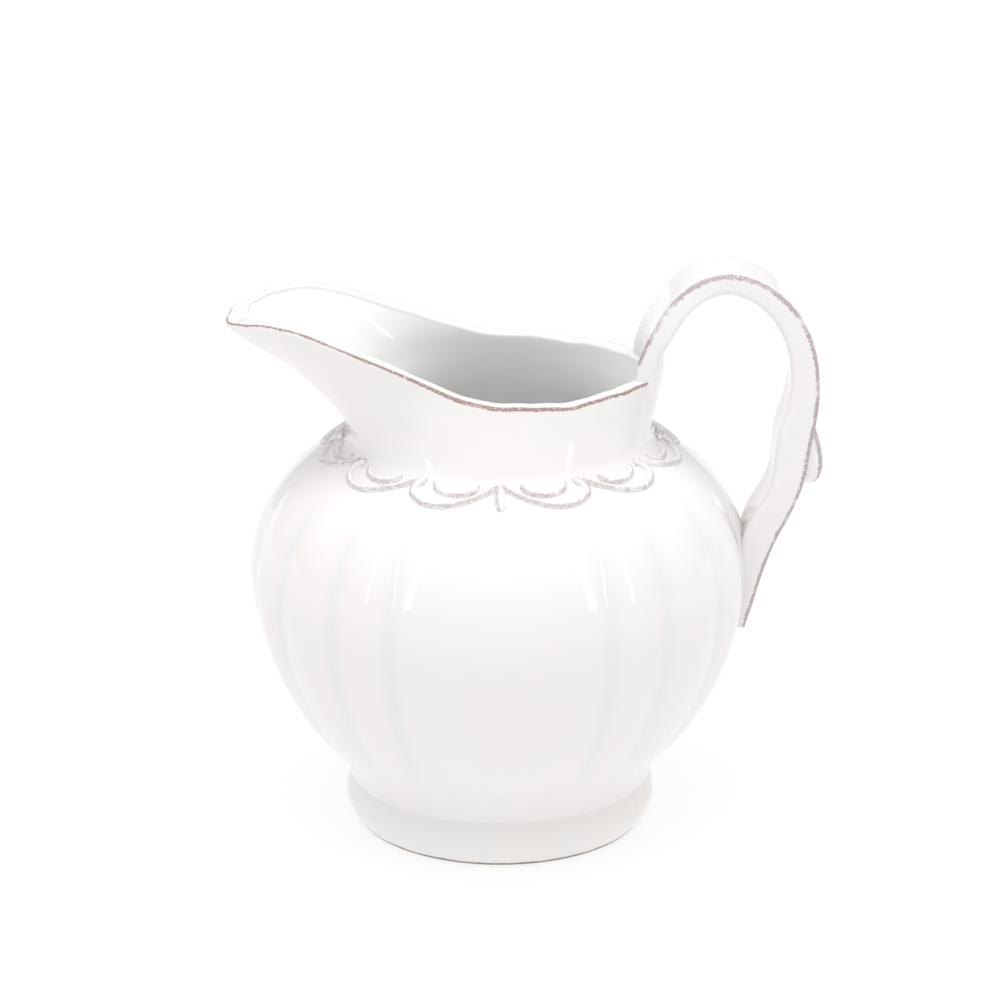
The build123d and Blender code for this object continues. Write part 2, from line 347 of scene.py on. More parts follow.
@dataclass(frozen=True)
class Glaze:
    """Shiny white glaze that is worn through to the clay along edges and ridges, with its inner faces painted a
    lighter white as painted light inside the cavity.
    """

    name: str
    white: Colour = (0.86, 0.856, 0.846)
    warm: Colour = (0.88, 0.842, 0.832)
    # painted light: a lighter white for the inner faces, standing in for light that fills the cavity
    inner: Colour = (0.98, 0.977, 0.968)
    pooled: Colour = (0.815, 0.817, 0.826)
    clay: Colour = (0.34, 0.215, 0.2)
    thin: Colour = (0.72, 0.66, 0.655)
    worn_width: float = 0.55  # millimetres to each side of a worn edge
    worn_wander: float = 0.5  # how far that width comes and goes
    worn_cover: float = 0.42  # share of the line where the glaze has held
    worn_grain: float = 0.36  # how broken up the bare clay is
    worn_depth: float = 0.06
    roughness: float = 0.07
    warm_patch: float = 30.0  # size of its warmer patches
    speck_pitch: float = 14.0
    speck_size: tuple[float, float] = (0.017, 0.009)  # where a speck ends and where it is full, in pitches
    wave: tuple[float, float] = (9.0, 0.045)  # size and depth of the soft waves in its surface
    ripple: tuple[float, float] = (1.6, 0.004)  # size and depth of the finer ones

    def build(self) -> bpy.types.Material:
        """Wires the material."""
        bench = Bench(self.name)
        warmth = bench.eased(bench.noise(self.warm_patch, 3), 0.42, 0.62)
        body = bench.mixed(warmth, self.white, self.warm)
        # painted light: faces painted with the inside attribute take the lighter inner white
        body = bench.mixed(bench.attribute("inside"), body, self.inner)
        body = bench.mixed(bench.math("MULTIPLY", bench.attribute("pool"), 0.8), body, self.pooled)
        distance, draw = bench.specks(self.speck_pitch)
        speck = bench.math("MULTIPLY", bench.eased(distance, *self.speck_size), bench.eased(draw, 0.55, 0.6))
        body = bench.mixed(bench.math("MULTIPLY", speck, 0.75), body, self.clay)

        width = bench.math("ADD", bench.math("MULTIPLY", bench.noise(1.1, 4), 2 * self.worn_wander), self.worn_width)
        width = bench.math("SUBTRACT", width, self.worn_wander)
        inside = bench.math("SUBTRACT", width, bench.attribute("wear"))
        held = bench.eased(bench.noise(7, 3), self.worn_cover - 0.12, self.worn_cover + 0.06)
        grain = bench.eased(bench.noise(0.55, 3), self.worn_grain, self.worn_grain + 0.16)
        halo = bench.math("MULTIPLY", bench.eased(inside, -0.35, 0.1), held)
        bare = bench.math("MULTIPLY", bench.eased(inside, -0.05, 0.22), bench.math("MULTIPLY", held, grain))
        worn = bench.mixed(bench.math("MULTIPLY", halo, 0.55), body, self.thin)
        bench.feed(bench.shader.inputs["Base Color"], bench.mixed(bare, worn, self.clay))

        rough = bench.math("ADD", bench.math("MULTIPLY", bench.noise(12, 3), 0.05), self.roughness - 0.02)
        rough = bench.math("ADD", rough, bench.math("MULTIPLY", bare, 0.35))
        bench.feed(bench.shader.inputs["Roughness"], rough)
        normal = bench.bumped(bench.noise(self.wave[0], 1.0), self.wave[1])
        normal = bench.bumped(bench.noise(self.ripple[0], 2.0), self.ripple[1], normal)
        whole = bench.math("SUBTRACT", 1.0, bench.math("MAXIMUM", speck, bare))
        normal = bench.bumped(whole, self.worn_depth, normal)
        bench.feed(bench.shader.inputs["Normal"], normal)
        bench.shader.inputs["IOR"].default_value = GLAZE_IOR
        return bench.material


@dataclass(frozen=True)
class FootGlaze:
    """The same white glaze, wiped off a line above the table, where the buff clay shows."""

    name: str = "glaze_over_wiped_foot"
    glaze: Glaze = Glaze("glaze_of_the_foot", warm=(0.885, 0.848, 0.83))
    clay: Colour = (0.40, 0.33, 0.275)
    clay_dark: Colour = (0.27, 0.215, 0.18)
    wiped_height: float = 0.75
    wiped_wander: float = 0.7
    wiped_fade: float = 0.25
    clay_grain: float = 0.5
    clay_depth: float = 0.1

    def build(self) -> bpy.types.Material:
        """Wires the material."""
        bench = Bench(self.name)
        warmth = bench.eased(bench.noise(24, 3), 0.38, 0.58)
        body = bench.mixed(warmth, self.glaze.white, self.glaze.warm)
        grain = bench.noise(self.clay_grain, 4)
        clay = bench.mixed(bench.eased(grain, 0.4, 0.6), self.clay, self.clay_dark)
        wander = bench.math("MULTIPLY", bench.noise(4, 3), self.wiped_wander)
        edge = bench.math("SUBTRACT", bench.attribute("wear"), wander)
        bare = bench.eased(edge, self.wiped_height, self.wiped_height - self.wiped_fade)
        bench.feed(bench.shader.inputs["Base Color"], bench.mixed(bare, body, clay))
        rough = bench.math("ADD", bench.math("MULTIPLY", bare, 0.6), self.glaze.roughness)
        bench.feed(bench.shader.inputs["Roughness"], rough)
        normal = bench.bumped(bench.noise(self.glaze.wave[0], 1.0), self.glaze.wave[1])
        normal = bench.bumped(bench.math("MULTIPLY", bare, grain), self.clay_depth, normal)
        bench.feed(bench.shader.inputs["Normal"], normal)
        bench.shader.inputs["IOR"].default_value = GLAZE_IOR
        return bench.material


# ---- belly --------------------------------------------------------------------------------------------
@dataclass
class Belly:
    """The round belly: a turned pot with a shallow front panel, side lobes between grooves, and its cavity."""

    glaze: bpy.types.Material
    wall: float = 5.0
    wall_shares: tuple[float, ...] = (0.14, 0.26, 0.38, 0.5, 0.62, 0.74, 0.84, 0.93)
    floor_radius: float = 28.0
    floor_middle: float = 14.0
    underside_middle: float = 20.0
    foot_height: float = 12.2
    neck_height: float = 99.2
    neck_radius: float = 38.4
    outline: tuple[tuple[float, float], ...] = (
        (37.7, 12.2),
        (39.9, 17.4),
        (45.4, 24.0),
        (56.1, 41.0),
        (61.7, 62.0),
        (59.6, 78.0),
        (54.3, 87.3),
        (47.4, 93.6),
        (38.4, 99.2),
    )
    groove_azimuths: tuple[float, ...] = (26.0, 41.5, 61.0, 80.5)
    panel_edge_slope: float = 9.0
    lobe_edge_slope: float = 14.0
    lobe_full_from: float = 34.0
    lobe_full_below: float = 84.0
    lobe_end: float = 94.6
    groove_width: float = 1.3  # degrees over which a groove's bottom is rounded
    pool_width: float = 2.2  # degrees to each side of it over which glaze has pooled
    slip_reach: float = 2.1  # how far the slip in the neck's corner reaches down the shoulder
    slip_height: float = 2.3
    slip_lap: float = 0.75  # how far inside the neck it starts
    steps: int = 480
    outer_rows: int = 96
    inner_rows: int = 44

    def __post_init__(self) -> None:
        """Draws the outer profile once, for the belly and for all that sits on it."""
        self.profile = SmoothLine(self.outline, start=(0.25, 1.0), end=(-1.0, 0.55))
        fine = self.profile.even(600)
        widest = int(np.argmax(fine[:, 0]))
        self.shoulder = fine[widest:][::-1]

    def shoulder_height(self, radius: np.ndarray) -> np.ndarray:
        """Height of the shoulder's surface at a distance from the axis."""
        return np.interp(radius, self.shoulder[:, 0], self.shoulder[:, 1])

    def lobes(self, azimuth: np.ndarray) -> tuple[np.ndarray, np.ndarray]:
        """Shape of the lobes round the belly.

        Args:
            azimuth: degrees from the front.

        Returns:
            The rise over the grooves as a share of the radius, and 1 in a groove falling to 0 off it.
        """
        half = np.abs((azimuth + 180) % 360 - 180)
        position = np.minimum(half, 180 - half)
        bounds = np.array([-self.groove_azimuths[0], *self.groove_azimuths, 180 - self.groove_azimuths[-1]])
        index = np.clip(np.searchsorted(bounds, position) - 1, 0, len(bounds) - 2)
        slope = np.where(index == 0, radians(self.panel_edge_slope), radians(self.lobe_edge_slope))
        half_width = np.radians(bounds[index + 1] - bounds[index]) / 2
        across = (np.radians(position - bounds[index]) - half_width) / half_width
        pillow = 0.7 * (1 - across**2) + 0.15 * (1 + np.cos(pi * across))
        off = np.degrees((1 - np.abs(across)) * half_width)
        rounding = self.groove_width * np.exp(-off / self.groove_width) * radians(1) * slope * 0.5
        return pillow * slope * half_width / 2 + rounding, np.exp(-((off / self.pool_width) ** 2))

    def build(self) -> bpy.types.Object:
        """Makes the belly."""
        outside = self.profile.even(self.outer_rows)
        ahead = np.gradient(outside, axis=0)
        ahead /= np.linalg.norm(ahead, axis=1)[:, None]
        wall_points = outside + self.wall * np.stack([-ahead[:, 1], ahead[:, 0]], axis=1)
        chosen = [round(share * (self.outer_rows - 1)) for share in self.wall_shares]
        floor = self.foot_height + self.wall
        throat = self.neck_radius - self.wall
        inside = SmoothLine(
            [(self.floor_radius, floor), *wall_points[chosen], (throat, self.neck_height)],
            start=(1, 0.1),
            end=(0, 1),
        ).even(self.inner_rows)[::-1]
        underside = [(0.0, self.foot_height), (self.underside_middle, self.foot_height)]
        outline = np.array([*underside, *outside, *inside, (self.floor_middle, floor), (0.0, floor)]) * MM
        piece = lathe("belly", outline, self.steps)

        places = vertex_places(piece)
        radius = np.hypot(places[:, 0], places[:, 1])
        azimuth = np.degrees(np.arctan2(places[:, 0], -places[:, 1]))
        half = np.stack([radius, places[:, 2]], axis=1)
        nearest = np.array([np.argmin(np.sum((outline - point) ** 2, axis=1)) for point in half])
        first = len(underside)
        is_outer = (nearest >= first) & (nearest < first + self.outer_rows)
        height = places[:, 2] / MM
        depth = smooth_step(height, self.foot_height, self.lobe_full_from)
        depth = depth * (1 - smooth_step(height, self.lobe_full_below, self.lobe_end))
        rise, groove = self.lobes(azimuth)
        side, _ = self.lobes(np.array([90.0]))
        swell = np.where(is_outer, 1 + depth * (rise - side[0]), 1.0)
        places[:, :2] *= swell[:, None]
        move_vertices(piece, places)
        paint(piece, "pool", np.where(is_outer, depth * groove, 0))
        # marks the cavity's faces for the glaze's painted light, a lighter white inside the belly
        paint(piece, "inside", np.where(is_outer, 0, 1))
        paint(piece, "wear", np.full(len(places), UNWORN))
        return fired(piece, self.glaze, "belly")


# ---- foot ---------------------------------------------------------------------------------------------
@dataclass
class Foot:
    """The low foot ring: a rolled outside, a bare resting edge and a recess under the belly."""

    glaze: bpy.types.Material
    height: float = 12.2
    base_radius: float = 35.4
    bulge_radius: float = 38.6
    crease_radius: float = 37.7
    inner_radius: float = 30.5
    inner_flare: float = 2.0
    edge_round: float = 0.7
    steps: int = 360

    def build(self) -> bpy.types.Object:
        """Makes the foot ring."""
        outside = SmoothLine(
            [
                (self.base_radius + self.edge_round * 0.75, self.edge_round),
                (self.bulge_radius, self.height / 2),
                (self.crease_radius, self.height),
            ],
            start=(0.75, 1),
            end=(-0.2, 1),
        ).even(40)
        edge = SmoothLine(
            [
                (self.base_radius - self.edge_round, 0.0),
                (self.base_radius + self.edge_round * 0.05, self.edge_round * 0.25),
                tuple(outside[0]),
            ],
            start=(1, 0),
            end=(0.75, 1),
        ).even(8)[:-1]
        inside = SmoothLine(
            [
                (self.inner_radius + self.inner_flare, self.height),
                (self.inner_radius + 0.5 * self.inner_flare, 0.6 * self.height),
                (self.inner_radius, 2.2),
                (self.inner_radius + 0.4, 0.7),
                (self.inner_radius + 1.4, 0.0),
            ]
        ).even(20)
        outline = np.array([*edge, *outside, *inside, tuple(edge[0])]) * MM
        piece = lathe("foot_ring", outline, self.steps)
        places = vertex_places(piece)
        radius = np.hypot(places[:, 0], places[:, 1]) / MM
        bottom = np.where(radius < self.inner_radius + 0.4, 0.4, 0.0)
        paint(piece, "wear", places[:, 2] / MM + bottom)
        return fired(piece, self.glaze, "foot_ring")


# ---- collar with the drawn spout ----------------------------------------------------------------------
@dataclass
class Collar:
    """The collar above the neck: a thick wall drawn out to a spout, with a rolled, worn rim."""

    glaze: bpy.types.Material
    belly: Belly
    wall: float = 5.0
    stations: tuple[tuple[float, float, float, float], ...] = (
        (99.2, 38.4, 38.4, 38.4),
        (102.0, 37.5, 37.3, 37.3),
        (106.0, 39.2, 37.8, 36.0),
        (110.0, 42.3, 38.8, 34.9),
        (114.0, 46.4, 39.7, 33.9),
        (118.0, 51.1, 40.5, 33.1),
        (122.0, 56.8, 41.2, 32.8),
        (126.0, 63.9, 41.9, 33.1),
        (130.0, 68.5, 42.5, 33.8),
        (136.0, 71.8, 43.4, 34.6),
    )
    sharpness: float = 0.2
    sharp_from: float = 12.0
    keel_wall_rise: float = 5.7
    rim: tuple[tuple[float, float], ...] = (
        (-72.0, 127.5),
        (-67.5, 130.3),
        (-62.0, 132.4),
        (-54.0, 133.5),
        (-46.0, 132.6),
        (-38.0, 130.0),
        (-29.0, 126.7),
        (-19.0, 122.7),
        (-9.0, 119.2),
        (1.0, 117.5),
        (12.0, 117.3),
        (18.0, 116.7),
        (23.0, 117.2),
        (32.0, 117.5),
        (46.0, 118.8),
    )
    lip_height: float = 1.25
    lip_squareness: float = 3.2
    fillet_shares: tuple[float, ...] = (1.0, 0.8, 0.6, 0.4, 0.2)
    waver: tuple[tuple[int, float, float], ...] = ((7, 0.12, 0.8), (13, 0.1, 2.1), (29, 0.07, 0.0))
    front_middle: tuple[float, float] = (-4.0, 24.0)  # place along X and half length of the rim's most worn part
    front_wear: float = 0.2  # how much wider the rim is worn at the middle of the front
    spout_part: tuple[float, float] = (34.0, 58.0)  # how far towards the spout the wear gets narrower
    spout_wear: float = 0.15  # how much narrower it is worn at the spout
    neck_pool: float = 0.3
    steps: int = 480
    outer_rows: int = 46
    lip_rows: int = 18
    inner_rows: int = 44

    def __post_init__(self) -> None:
        """Draws the curves that the wall and the rim follow."""
        heights = [station[0] for station in self.stations]
        self.reaches = SmoothLine([station[1:] for station in self.stations], knots=heights)
        self.rim_line = SmoothLine([(height,) for _, height in self.rim], knots=[along for along, _ in self.rim])
        self.turn = np.arange(self.steps) * 2 * pi / self.steps

    def wall_point(self, height: np.ndarray, inside: bool) -> np.ndarray:
        """Points on one face of the wall, one for each step round it.

        Args:
            height: height of the point at each step, in millimetres.
            inside: the inner face instead of the outer one.

        Returns:
            steps x 3 points in millimetres.
        """
        spout, handle, half_width = self.reaches.at(height).T
        if inside:
            spout = np.minimum(spout - self.wall, self.reaches.at(height - self.keel_wall_rise)[:, 0])
            handle = handle - self.wall
            half_width = half_width - self.wall
        low = self.stations[0][0]
        power = self.sharpness * smooth_step(height, low, low + self.sharp_from)
        along, side = np.cos(self.turn), np.sin(self.turn)
        across = half_width * side * np.abs(side) ** power
        return np.stack([np.where(along > 0, handle, spout) * along, across, height], axis=1)

    def rim_heights(self, inside: bool) -> np.ndarray:
        """Height where one face of the wall reaches the rim, for each step round it."""
        low = np.full(self.steps, self.stations[0][0])
        high = np.full(self.steps, self.stations[-1][0])
        for _ in range(40):
            middle = (low + high) / 2
            along = self.wall_point(middle, inside)[:, 0]
            below = middle < self.rim_line.at(along)[:, 0]
            low, high = np.where(below, middle, low), np.where(below, high, middle)
        return (low + high) / 2

    def wavering(self) -> np.ndarray:
        """Small hand-made rise and fall of the rim round the collar."""
        return sum(size * np.sin(count * self.turn + phase) for count, size, phase in self.waver)

    def skin(self) -> np.ndarray:
        """Draws the whole skin.

        Returns:
            rows x steps x 3 points in metres.
        """
        bottom = self.stations[0][0]
        tops = [self.rim_heights(inside) + self.wavering() - self.lip_height for inside in (False, True)]
        circle = np.stack([np.cos(self.turn), np.sin(self.turn), np.zeros(self.steps)], axis=1)
        rows = []
        neck = self.belly.neck_radius
        for share in self.fillet_shares:
            radius = neck - self.belly.slip_lap + (self.belly.slip_reach + self.belly.slip_lap) * share**1.4
            on_shoulder = float(self.belly.shoulder_height(np.array([radius]))[0]) if radius > neck else bottom
            height = on_shoulder - 0.03 + self.belly.slip_height * (1 - share) ** 2
            rows.append(circle * radius + (0, 0, height))
        start = rows[-1][0, 2] + 0.55
        for share in np.linspace(0, 1, self.outer_rows) ** 0.8:
            rows.append(self.wall_point(start + (tops[0] - start) * share, False))
        outer, inner = rows[-1], self.wall_point(tops[1], True)
        upward = np.array([0, 0, 1.0])
        for turn in np.linspace(0, pi, self.lip_rows + 2)[1:-1]:
            along = np.sign(cos(turn)) * abs(cos(turn)) ** (2 / self.lip_squareness)
            rise = sin(turn) ** (2 / self.lip_squareness)
            rows.append((outer + inner) / 2 + (outer - inner) / 2 * along + upward * self.lip_height * rise)
        for share in np.linspace(1, 0, self.inner_rows):
            rows.append(self.wall_point(bottom + (tops[1] - bottom) * share, True))
        rows.append(circle * (neck - 1.0) + (0, 0, bottom))
        rows.append(rows[0])
        return np.array(rows) * MM

    def edge_distance(self, surface: np.ndarray) -> np.ndarray:
        """Distance of each point, along its column, from the rim's outer edge, in millimetres."""
        steps = np.linalg.norm(np.diff(surface, axis=0), axis=2) / MM
        travelled = np.concatenate([np.zeros((1, self.steps)), np.cumsum(steps, axis=0)])
        edge_row = len(self.fillet_shares) + self.outer_rows + self.lip_rows // 6
        return np.abs(travelled - travelled[edge_row])

    def build(self) -> bpy.types.Object:
        """Makes the collar."""
        surface = self.skin()
        along, across, height = np.moveaxis(surface / MM, 2, 0)
        front = np.exp(-(((along - self.front_middle[0]) / self.front_middle[1]) ** 2)) * (across < 0)
        wear = self.edge_distance(surface) - self.front_wear * front
        wear += self.spout_wear * smooth_step(-along, *self.spout_part)
        outer_last = len(self.fillet_shares) + self.outer_rows
        pool = self.neck_pool * (1 - smooth_step(height, self.belly.neck_height, self.belly.neck_height + 3.0))
        pool[outer_last:] = 0
        # marks the inner faces for the glaze's painted light, a lighter white inside the collar
        inside = np.zeros(wear.shape)
        inside[outer_last + self.lip_rows :] = 1
        piece = drawn_sheet("collar_spout", surface, {"wear": wear, "pool": pool, "inside": inside})
        return fired(piece, self.glaze, "collar_spout")


# ---- handle -------------------------------------------------------------------------------------------
@dataclass
class Handle:
    """The strap handle, from the rim over an arch and down to a tail laid on the belly."""

    glaze: bpy.types.Material
    stations: tuple[tuple[float, float, float, float], ...] = (
        (37.1, 113.4, 24.0, 4.2),
        (37.7, 117.6, 24.0, 5.0),
        (37.9, 121.5, 24.5, 5.1),
        (39.6, 128.8, 24.5, 5.3),
        (43.3, 135.0, 22.5, 5.3),
        (48.8, 139.2, 19.5, 5.3),
        (55.2, 140.6, 17.5, 5.3),
        (62.2, 138.6, 17.0, 5.5),
        (68.6, 133.3, 17.2, 6.0),
        (72.7, 125.8, 17.8, 6.5),
        (74.3, 117.0, 18.0, 7.0),
        (73.7, 108.0, 18.0, 7.8),
        (71.9, 99.8, 17.6, 8.6),
        (71.0, 92.2, 17.4, 8.0),
        (69.0, 85.4, 17.4, 7.6),
        (65.2, 78.2, 17.2, 8.0),
        (62.2, 69.0, 16.0, 7.0),
        (60.8, 59.5, 13.5, 4.8),
        (59.3, 51.0, 9.5, 3.4),
    )
    edge_round: float = 1.5
    root_flare: float = 2.0
    root_flare_length: float = 13.0
    root_curve: float = 28.0  # radius of the collar that the root is smeared round
    root_curve_length: float = 20.0
    root_whole: tuple[float, float] = (5.0, 9.0)  # how far up the root the glaze is unworn
    edge_place: float = 0.3  # how far in from the corner the worn edge lies, as a share of its rounding
    rows: int = 220
    corner_points: int = 6
    face_points: int = 9
    side_points: int = 4

    def section(self, width: float, thickness: float) -> np.ndarray:
        """Rounded rectangle across the strap.

        Args:
            width: its width.
            thickness: its thickness.

        Returns:
            (across, outwards) points in millimetres, in order round the section.
        """
        round_ = min(self.edge_round, 0.49 * thickness)
        half_width, half_thickness = width / 2 - round_, thickness / 2 - round_
        points = []
        for quarter, (across, out) in enumerate(((1, 1), (-1, 1), (-1, -1), (1, -1))):
            for step in range(self.corner_points + 1):
                turn = (quarter + step / self.corner_points) * pi / 2
                points.append((across * half_width + round_ * cos(turn), out * half_thickness + round_ * sin(turn)))
            steps = self.face_points if quarter % 2 == 0 else self.side_points
            here = np.array(points[-1])
            move = (-2 * half_width * across, 0) if quarter % 2 == 0 else (0, -2 * half_thickness * out)
            points += [tuple(here + np.array(move) * step / steps) for step in range(1, steps)]
        return np.array(points)

    def skin(self) -> tuple[np.ndarray, np.ndarray]:
        """Draws the strap's skin and how far each point is from the worn edges."""
        stations = SmoothLine(self.stations, knots=SmoothLine([s[:2] for s in self.stations]).knots)
        places = np.linspace(stations.knots[0], stations.knots[-1], self.rows)
        values = stations.at(places)
        ahead = np.gradient(values[:, :2], axis=0)
        ahead /= np.linalg.norm(ahead, axis=1)[:, None]
        rows, wear = [], []
        for place, (x, z, width, thickness), (run, climb) in zip(places, values, ahead):
            width += self.root_flare * max(0.0, 1 - place / self.root_flare_length) ** 2
            section = self.section(width, thickness)
            outwards = np.array([-climb, 0, run])
            centre = np.array([x, 0, z])
            wrap = self.root_curve - np.sqrt(self.root_curve**2 - section[:, 0] ** 2)
            wrap *= 1 - smooth_step(place, 0.2 * self.root_curve_length, self.root_curve_length)
            row = centre + np.outer(section[:, 0], (0, 1, 0)) + np.outer(section[:, 1], outwards)
            rows.append(row - np.outer(wrap, (1, 0, 0)))
            corner = np.array([width, thickness]) / 2 - self.edge_place * self.edge_round
            off = np.abs(section * (1, 1) - corner * np.stack([np.sign(section[:, 0]), np.ones(len(section))], 1))
            wear.append(np.hypot(off[:, 0], off[:, 1]) + 3 * (1 - smooth_step(place, *self.root_whole)))
        first, last = (np.repeat(rows[end].mean(axis=0)[None], len(rows[end]), axis=0) for end in (0, -1))
        whole = np.full(len(first), UNWORN)
        return np.array([first, *rows, last]) * MM, np.array([whole, *wear, whole])

    def build(self) -> bpy.types.Object:
        """Makes the strap."""
        surface, wear = self.skin()
        piece = drawn_sheet("handle", surface, {"wear": wear})
        return fired(piece, self.glaze, "handle")


@dataclass
class Spur:
    """The leaf-shaped sprig on the outside of the handle's lower bend."""

    glaze: bpy.types.Material
    centre: tuple[float, float] = (75.6, 97.4)
    length: float = 19.5
    width: float = 13.0
    height: float = 8.4
    tilt: float = 4.0
    fullest: float = 0.66  # below 1 it is fullest near its lower end
    crease: tuple[float, float] = (0.12, 0.22)  # depth and width of the crease down its back
    worn_place: float = 0.36  # where its worn edges lie, as a share of its width
    rows: int = 60
    around: int = 48

    def build(self) -> bpy.types.Object:
        """Makes the leaf: a spindle, fullest above its middle, with a crease down its back."""
        shares = np.linspace(0, 1, self.rows)
        fullness = np.sin(pi * shares**self.fullest) ** 0.8
        turn = np.arange(self.around) * 2 * pi / self.around
        lean = radians(self.tilt)
        rows, wear = [], []
        for share, full in zip(shares, fullness):
            along = (share - 0.5) * self.length
            crease = 1 - self.crease[0] * np.exp(-((np.sin(turn) / self.crease[1]) ** 2)) * (np.cos(turn) > 0)
            out = 0.5 * self.height * full * np.cos(turn) * crease
            side = 0.5 * self.width * full * np.sin(turn)
            x = self.centre[0] + out * cos(lean) - along * sin(lean)
            z = self.centre[1] + out * sin(lean) + along * cos(lean)
            rows.append(np.stack([x, side, z], axis=1))
            wear.append(np.abs(np.abs(side) - self.worn_place * self.width * full) + 0.5 * (np.cos(turn) < 0))
        piece = drawn_sheet("handle_spur", np.array(rows) * MM, {"wear": np.array(wear)})
        return fired(piece, self.glaze, "handle_spur")


# ---- garland ------------------------------------------------------------------------------------------
class Quarter(Enum):
    """The four quarters of the shoulder, each with the way in which its azimuths run."""

    front_right = (0, 1)
    front_left = (0, -1)
    back_right = (180, -1)
    back_left = (180, 1)

    def azimuth(self, value: np.ndarray) -> np.ndarray:
        """Azimuth of a place that is so far from the middle of the front or the back."""
        start, way = self.value
        return start + way * value


@dataclass
class Garland:
    """Sprigs pressed on the shoulder: three festoons in each quarter, and a drop in front and behind."""

    glaze: bpy.types.Material
    belly: Belly
    pitch: float = 30.0
    festoons: int = 3
    swag: tuple[tuple[float, float], ...] = (
        (0.9, 38.5),
        (4.0, 39.7),
        (8.5, 41.5),
        (14.0, 43.2),
        (19.5, 44.1),
        (24.0, 43.9),
        (27.8, 42.9),
        (30.2, 41.4),
        (30.4, 39.8),
        (28.8, 38.8),
        (26.8, 38.5),
    )
    scroll: tuple[tuple[float, float], ...] = (
        (7.4, 38.5),
        (9.2, 39.7),
        (12.2, 40.6),
        (16.0, 40.9),
        (19.8, 40.5),
        (22.4, 39.6),
        (23.6, 38.5),
    )
    swag_width: float = 2.0
    scroll_width: float = 1.8
    relief: float = 1.0
    worn_side: float = 0.22  # how far the worn line lies off the crest, as a share of the width
    drop: tuple[tuple[float, float], ...] = ((0.0, 38.5), (0.0, 41.6), (0.0, 44.8))
    drop_width: float = 3.1
    sink: float = 0.15
    mean_ring: float = 41.0
    blunt: float = 1.4  # length over which an end is rounded off
    drop_blunt: float = 2.6
    step: float = 0.35
    around: int = 20

    def place(self, azimuth: np.ndarray, radius: np.ndarray) -> np.ndarray:
        """Points on the shoulder in millimetres."""
        turn = np.radians(azimuth)
        height = self.belly.shoulder_height(radius) + self.slip_rise(radius)
        return np.stack([radius * np.sin(turn), -radius * np.cos(turn), height], axis=1)

    def slip_rise(self, radius: np.ndarray) -> np.ndarray:
        """How far the slip in the neck's corner stands over the shoulder."""
        belly = self.belly
        start = belly.neck_radius - belly.slip_lap
        share = np.clip((radius - start) / (belly.slip_reach + belly.slip_lap), 0, 1) ** 0.71
        return belly.slip_height * (1 - share) ** 2

    def bead(self, name: str, route: Sequence[Sequence[float]], width: float, blunt: float) -> bpy.types.Object:
        """Lays a soft bead of clay along a route on the shoulder.

        Args:
            name: the CAD node that it stands for.
            route: (azimuth, distance from the axis) of points along it.
            width: its full width.
            blunt: length over which its ends are rounded off.

        Returns:
            The bead.
        """
        ring = SmoothLine([(radians(azimuth) * self.mean_ring, radius) for azimuth, radius in route])
        length = ring.knots[-1]
        count = int(length / self.step) + 8
        shares = (1 - np.cos(np.linspace(0, pi, count))) / 2
        flat = ring.at(shares * length)
        line = self.place(np.degrees(flat[:, 0] / self.mean_ring), flat[:, 1])
        tangent = np.gradient(line, axis=0)
        tangent /= np.linalg.norm(tangent, axis=1)[:, None]
        outward = line * (1, 1, 0) / np.linalg.norm(line[:, :2], axis=1)[:, None]
        slope = np.gradient(self.belly.shoulder[:, 1], self.belly.shoulder[:, 0])
        fall = np.interp(np.linalg.norm(line[:, :2], axis=1), self.belly.shoulder[:, 0], slope)
        normal = np.stack([-fall * outward[:, 0], -fall * outward[:, 1], np.ones(len(line))], axis=1)
        normal /= np.linalg.norm(normal, axis=1)[:, None]
        side = np.cross(normal, tangent)
        near_end = np.minimum(shares, 1 - shares) * length
        full = np.sqrt(np.clip(1 - (1 - np.clip(near_end / blunt, 0, 1)) ** 2, 0, 1))
        turn = np.arange(self.around) * 2 * pi / self.around
        lift = np.where(np.sin(turn) > 0, self.relief * np.abs(np.sin(turn)) ** 1.25, -self.sink)
        across = np.cos(turn) * width / 2
        skin = (
            line[:, None]
            + side[:, None] * across[None, :, None] * full[:, None, None]
            + normal[:, None] * (lift[None, :, None] * full[:, None, None] - 0.05)
        )
        wear = np.abs(across + self.worn_side * width)[None] * full[:, None] + 3.0 * (np.sin(turn) < -0.1)[None]
        return drawn_sheet(name, skin * MM, {"wear": wear})

    def set_round(self, pattern: bpy.types.Object, node: str, quarter: Quarter, start: float) -> bpy.types.Object:
        """Sets a copy of a sprig elsewhere on the shoulder.

        Args:
            pattern: the sprig as it lies at the front, right of the middle.
            node: the CAD node that the copy stands for.
            quarter: the quarter that it goes to.
            start: degrees from the middle of that quarter's front or back.

        Returns:
            The copy.
        """
        piece = pattern.copy()
        piece.data = pattern.data.copy()
        piece.name = piece.data.name = node
        bpy.context.scene.collection.objects.link(piece)
        places = vertex_places(piece)
        azimuth = np.arctan2(places[:, 0], -places[:, 1])
        radius = np.hypot(places[:, 0], places[:, 1])
        turn = np.radians(quarter.azimuth(np.degrees(azimuth) + start))
        move_vertices(piece, np.stack([radius * np.sin(turn), -radius * np.cos(turn), places[:, 2]], axis=1))
        return fired(piece, self.glaze, node)

    def build(self) -> None:
        """Makes the three kinds of sprig once, and sets them round the shoulder."""
        patterns = {
            "swag": self.bead("swag_pattern", self.swag, self.swag_width, self.blunt),
            "scroll": self.bead("scroll_pattern", self.scroll, self.scroll_width, self.blunt),
            "drop": self.bead("drop_pattern", self.drop, self.drop_width, self.drop_blunt),
        }
        for quarter in Quarter:
            for number in range(self.festoons):
                for kind in ("swag", "scroll"):
                    node = f"garland_{kind}_{quarter.name}_{number + 1}"
                    self.set_round(patterns[kind], node, quarter, number * self.pitch)
        self.set_round(patterns["drop"], "garland_drop_front", Quarter.front_right, 0.0)
        self.set_round(patterns["drop"], "garland_drop_back", Quarter.back_left, 0.0)
        for pattern in patterns.values():
            bpy.data.objects.remove(pattern)


